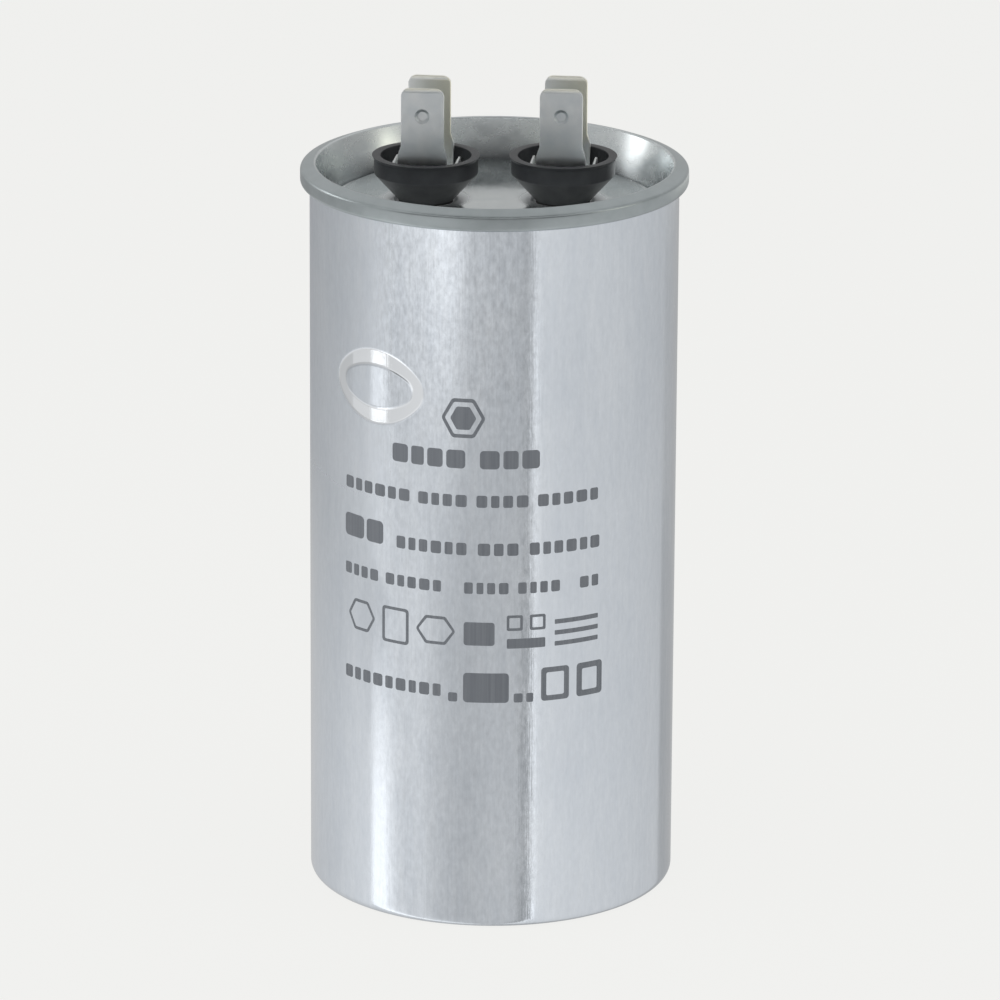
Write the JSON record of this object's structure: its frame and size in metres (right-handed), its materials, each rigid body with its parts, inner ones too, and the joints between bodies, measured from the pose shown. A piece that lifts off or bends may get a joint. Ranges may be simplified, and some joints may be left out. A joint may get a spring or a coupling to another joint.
{
  "type": "motor run capacitor",
  "caption": "Round aluminium can capacitor with a seamed lid and two insulated push-on terminals, each with tall tabs and short ears.",
  "frame": {"origin": "centre of the can's flat base", "axes": "+Z along the can, from the base to the terminals; +X from the left terminal to the right one; the front, with the oval mark to its left, faces -Y"},
  "size_m": [0.0578, 0.0578, 0.1234],
  "materials": {
    "aluminium_can": "drawn aluminium, satin with fine upright streaks",
    "tinplate": "tinplate, semi-bright",
    "sealing_compound": "dull sealing compound",
    "black_plastic": "moulded, half matt",
    "tinned_terminal": "tin plated, satin",
    "black_rubber": "matt",
    "tinned_rivet": "tin plated",
    "hard_paper": "phenolic board",
    "brass_lug": "satin",
    "white_plastic": "natural polypropylene",
    "core_plastic": "natural polypropylene",
    "metallised_film": "metallised film, glossy",
    "clear_film_wrap": "plain film, glossy",
    "zinc_spray": "matt sprayed zinc",
    "tinned_wire": "tinned copper",
    "red_sleeve": "varnished sleeve",
    "blue_sleeve": "varnished sleeve",
    "solder": "bright solder"
  },
  "bodies": {
    "root": {"can": "aluminium_can", "lid": "tinplate", "seam_compound": "sealing_compound", "terminal_cup_left": "black_plastic", "terminal_cup_right": "black_plastic", "terminal_left": "tinned_terminal", "terminal_right": "tinned_terminal", "cup_gasket_left": "black_rubber", "cup_gasket_right": "black_rubber", "rivet_left": "tinned_rivet", "rivet_right": "tinned_rivet", "inner_washer_left": "hard_paper", "inner_washer_right": "hard_paper", "inner_lug_left": "brass_lug", "inner_lug_right": "brass_lug", "bottom_insulator": "white_plastic", "top_insulator": "white_plastic", "core_tube": "core_plastic", "film_winding": "metallised_film", "element_wrap": "clear_film_wrap", "end_spray_bottom": "zinc_spray", "end_spray_top": "zinc_spray", "lead_to_left": "tinned_wire", "lead_to_right": "tinned_wire", "lead_sleeve_left": "red_sleeve", "lead_sleeve_right": "blue_sleeve", "solder_joints": "solder"}
  },
  "joints": []
}
